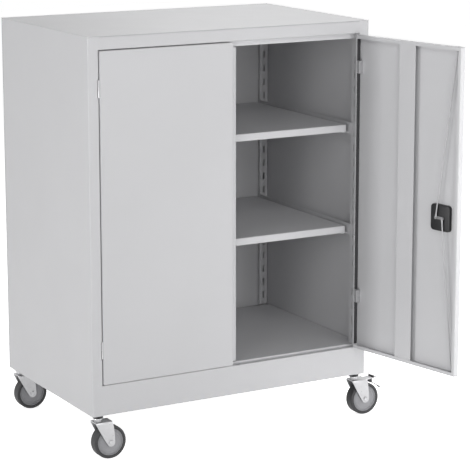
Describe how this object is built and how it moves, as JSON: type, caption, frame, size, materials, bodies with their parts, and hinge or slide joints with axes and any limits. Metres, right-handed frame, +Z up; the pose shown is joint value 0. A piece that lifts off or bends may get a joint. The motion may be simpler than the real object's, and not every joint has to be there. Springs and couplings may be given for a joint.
{
  "type": "mobile cabinet",
  "caption": "Light grey steel storage cabinet with two hinged doors, the right one open, adjustable shelves, a recessed locking handle and swivel casters.",
  "frame": {"origin": "on the floor under the centre of the box around the cabinet, its right-hand door open as in the picture", "axes": "+X to the cabinet's right seen from the front, +Y from the doors to the back, +Z up"},
  "size_m": [0.9928, 1.023, 1.218],
  "materials": {
    "paint": "light grey powder coat, fine satin texture",
    "zinc": "bright zinc plating",
    "black_plastic": "satin black",
    "rubber": "dull dark grey",
    "hub_plastic": "satin mid grey"
  },
  "bodies": {
    "cabinet_body": {"back_panel": "paint", "caster_head_front_left": "zinc", "caster_head_front_right": "zinc", "caster_head_rear_left": "zinc", "caster_head_rear_right": "zinc", "floor_panel": "paint", "header_rail": "paint", "hinge_frame_leaf_left_lower": "zinc", "hinge_frame_leaf_left_upper": "zinc", "hinge_frame_leaf_right_lower": "zinc", "hinge_frame_leaf_right_upper": "zinc", "kick_rail": "paint", "left_side_panel": "paint", "lower_shelf": "paint", "lower_shelf_rail_left": "zinc", "lower_shelf_rail_right": "zinc", "rear_rail": "paint", "right_side_panel": "paint", "top_panel": "paint", "upper_shelf": "paint", "upper_shelf_rail_left": "zinc", "upper_shelf_rail_right": "zinc", "upright_front_left": "paint", "upright_front_right": "paint", "upright_rear_left": "paint", "upright_rear_right": "paint"},
    "left_door": {"left_door_panel": "paint", "left_door_stiffener": "paint", "centre_strip": "paint", "hinge_door_leaf_left_lower": "zinc", "hinge_door_leaf_left_upper": "zinc"},
    "right_door": {"right_door_panel": "paint", "right_door_stiffener": "paint", "handle_dish": "black_plastic", "hinge_door_leaf_right_lower": "zinc", "hinge_door_leaf_right_upper": "zinc"},
    "handle": {"handle_lever": "black_plastic", "lock_cam": "zinc"},
    "lock_cylinder": {"lock_cylinder": "zinc"},
    "upper_lock_rod": {"upper_lock_rod": "zinc"},
    "lower_lock_rod": {"lower_lock_rod": "zinc"},
    "swivel_front_left": {"caster_fork_front_left": "zinc", "wheel_axle_front_left": "zinc"},
    "wheel_front_left": {"wheel_hub_front_left": "hub_plastic", "wheel_tyre_front_left": "rubber"},
    "swivel_front_right": {"caster_fork_front_right": "zinc", "wheel_axle_front_right": "zinc"},
    "wheel_front_right": {"wheel_hub_front_right": "hub_plastic", "wheel_tyre_front_right": "rubber"},
    "pedal_front_right": {"brake_pedal_front_right": "zinc"},
    "swivel_rear_left": {"caster_fork_rear_left": "zinc", "wheel_axle_rear_left": "zinc"},
    "wheel_rear_left": {"wheel_hub_rear_left": "hub_plastic", "wheel_tyre_rear_left": "rubber"},
    "swivel_rear_right": {"caster_fork_rear_right": "zinc", "wheel_axle_rear_right": "zinc"},
    "wheel_rear_right": {"wheel_hub_rear_right": "hub_plastic", "wheel_tyre_rear_right": "rubber"},
    "pedal_rear_right": {"brake_pedal_rear_right": "zinc"}
  },
  "joints": [
    {"name": "left_door_hinge", "type": "hinge", "parent": "cabinet_body", "child": "left_door", "pos_m": [-0.46393, -0.09055, 0.133], "axis": [0, 0, -1], "range_deg": [0, 110]},
    {"name": "right_door_hinge", "type": "hinge", "parent": "cabinet_body", "child": "right_door", "pos_m": [0.39107, -0.09055, 0.133], "axis": [0, 0, 1], "range_deg": [-101, 9]},
    {"name": "handle_turn", "type": "hinge", "parent": "right_door", "child": "handle", "pos_m": [0.45814, -0.43559, 0.6795], "axis": [0.9816, 0.1908, 0], "range_deg": [0, 90]},
    {"name": "lock_cylinder_turn", "type": "hinge", "parent": "handle", "child": "lock_cylinder", "pos_m": [0.45814, -0.43559, 0.6795], "axis": [0.9816, 0.1908, 0], "range_deg": [0, 90]},
    {"name": "upper_lock_rod_pivot", "type": "hinge", "parent": "handle", "child": "upper_lock_rod", "pos_m": [0.45581, -0.42361, 0.6795], "axis": [0.9816, 0.1908, 0], "range_deg": [-91.91, 0]},
    {"name": "lower_lock_rod_pivot", "type": "hinge", "parent": "handle", "child": "lower_lock_rod", "pos_m": [0.46047, -0.44756, 0.6795], "axis": [0.9816, 0.1908, 0], "range_deg": [-92.04, 0]},
    {"name": "swivel_front_left_turn", "type": "hinge", "parent": "cabinet_body", "child": "swivel_front_left", "pos_m": [-0.47093, -0.07005, 0.133], "axis": [0, 0, 1], "continuous": true},
    {"name": "wheel_front_left_spin", "type": "hinge", "parent": "swivel_front_left", "child": "wheel_front_left", "pos_m": [-0.43843, -0.07005, 0.04957], "axis": [0, 1, 0], "continuous": true},
    {"name": "swivel_front_right_turn", "type": "hinge", "parent": "cabinet_body", "child": "swivel_front_right", "pos_m": [0.39807, -0.07005, 0.133], "axis": [0, 0, 1], "continuous": true},
    {"name": "wheel_front_right_spin", "type": "hinge", "parent": "swivel_front_right", "child": "wheel_front_right", "pos_m": [0.43057, -0.07005, 0.04957], "axis": [0, 1, 0], "continuous": true},
    {"name": "pedal_front_right_press", "type": "hinge", "parent": "swivel_front_right", "child": "pedal_front_right", "pos_m": [0.42907, -0.07005, 0.1057], "axis": [0, 1, 0], "range_deg": [0, 4.5]},
    {"name": "swivel_rear_left_turn", "type": "hinge", "parent": "cabinet_body", "child": "swivel_rear_left", "pos_m": [-0.47093, 0.48695, 0.133], "axis": [0, 0, 1], "continuous": true},
    {"name": "wheel_rear_left_spin", "type": "hinge", "parent": "swivel_rear_left", "child": "wheel_rear_left", "pos_m": [-0.43843, 0.48695, 0.04957], "axis": [0, 1, 0], "continuous": true},
    {"name": "swivel_rear_right_turn", "type": "hinge", "parent": "cabinet_body", "child": "swivel_rear_right", "pos_m": [0.39807, 0.48695, 0.133], "axis": [0, 0, 1], "continuous": true},
    {"name": "wheel_rear_right_spin", "type": "hinge", "parent": "swivel_rear_right", "child": "wheel_rear_right", "pos_m": [0.43057, 0.48695, 0.04957], "axis": [0, 1, 0], "continuous": true},
    {"name": "pedal_rear_right_press", "type": "hinge", "parent": "swivel_rear_right", "child": "pedal_rear_right", "pos_m": [0.42907, 0.48695, 0.1057], "axis": [0, 1, 0], "range_deg": [0, 4.5]}
  ],
  "couplings": [
    {"joint": "upper_lock_rod_pivot", "follows": "handle_turn", "ratio": -1.0156},
    {"joint": "lower_lock_rod_pivot", "follows": "handle_turn", "ratio": -1.0171}
  ]
}
